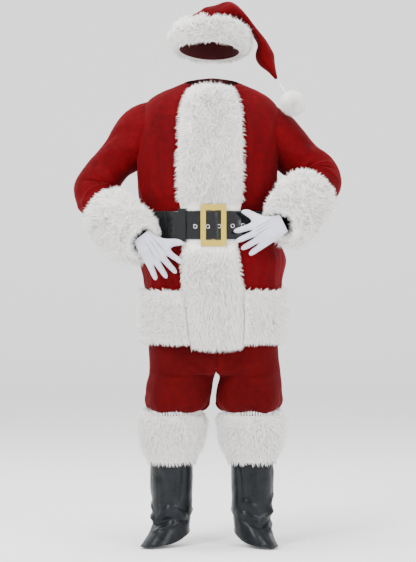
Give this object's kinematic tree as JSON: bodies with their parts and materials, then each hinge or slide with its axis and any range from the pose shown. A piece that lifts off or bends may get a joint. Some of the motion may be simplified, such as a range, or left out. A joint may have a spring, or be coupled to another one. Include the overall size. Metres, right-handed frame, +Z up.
{
  "type": "santa suit",
  "caption": "Santa suit in its worn shape, hollow, hands on hips: fur-trimmed velvet hat, jacket and trousers, patent belt, gloves and fur-topped boot covers.",
  "frame": {"origin": "the base of the neck, in the middle of the jacket's neck opening, where the wearer holds the suit up", "axes": "+Z up, -Y the front, +X the suit's own left side"},
  "size_m": [0.8831, 0.4567, 1.7961],
  "materials": {
    "jacket_velvet": "crimson velvet",
    "trouser_velvet": "darker crimson velvet",
    "white_fur": "long white pile",
    "black_patent": "glossy patent",
    "black_vinyl": "satin vinyl",
    "buckle_brass": "bright",
    "white_cotton": "thin white knit"
  },
  "bodies": {
    "root": {"hat_crown": "jacket_velvet", "hat_brim_fur": "white_fur", "hat_pompom": "white_fur", "jacket_front_right": "jacket_velvet", "jacket_front_left": "jacket_velvet", "jacket_back": "jacket_velvet", "jacket_sleeve_right": "jacket_velvet", "jacket_sleeve_left": "jacket_velvet", "jacket_cuff_fur_right": "white_fur", "jacket_cuff_fur_left": "white_fur", "jacket_placket_fur": "white_fur", "jacket_hem_fur_right": "white_fur", "jacket_hem_fur_left": "white_fur", "belt_strap": "black_patent", "belt_keeper": "black_patent", "belt_buckle": "buckle_brass", "trousers_leg_right": "trouser_velvet", "trousers_leg_left": "trouser_velvet", "trousers_waistband": "trouser_velvet", "boot_right_inner": "black_vinyl", "boot_right_outer": "black_vinyl", "boot_left_inner": "black_vinyl", "boot_left_outer": "black_vinyl", "boot_top_fur_right": "white_fur", "boot_top_fur_left": "white_fur", "glove_right": "white_cotton", "glove_left": "white_cotton"}
  },
  "joints": []
}
